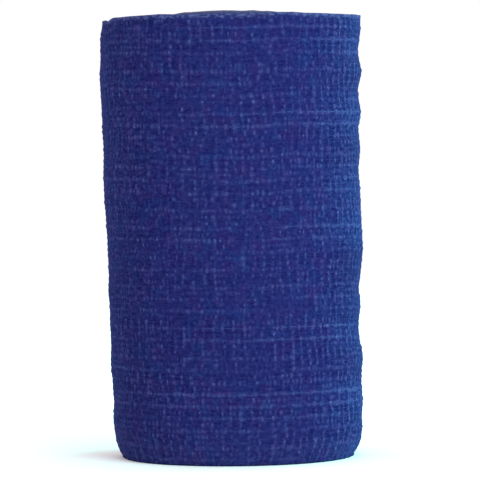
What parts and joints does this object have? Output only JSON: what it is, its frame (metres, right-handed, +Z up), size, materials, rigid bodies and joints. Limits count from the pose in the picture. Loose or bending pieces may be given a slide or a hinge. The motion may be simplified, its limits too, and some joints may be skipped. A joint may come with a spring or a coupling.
{
  "type": "cohesive bandage roll",
  "caption": "Upright roll of self-adhering crepe bandage that winds round a limb or joint and holds without clips.",
  "frame": {"origin": "middle of the base, at the centre of the roll's box, on the surface it stands on", "axes": "+Z up along the roll, +X to the right in the picture, -Y towards the viewer"},
  "size_m": [0.0608, 0.061, 0.1016],
  "materials": {
    "crepe_cloth": "matt royal-blue crepe cloth with fine elastic yarns round the roll and puckers across them"
  },
  "bodies": {
    "root": {"bandage_roll": "crepe_cloth"}
  },
  "joints": []
}
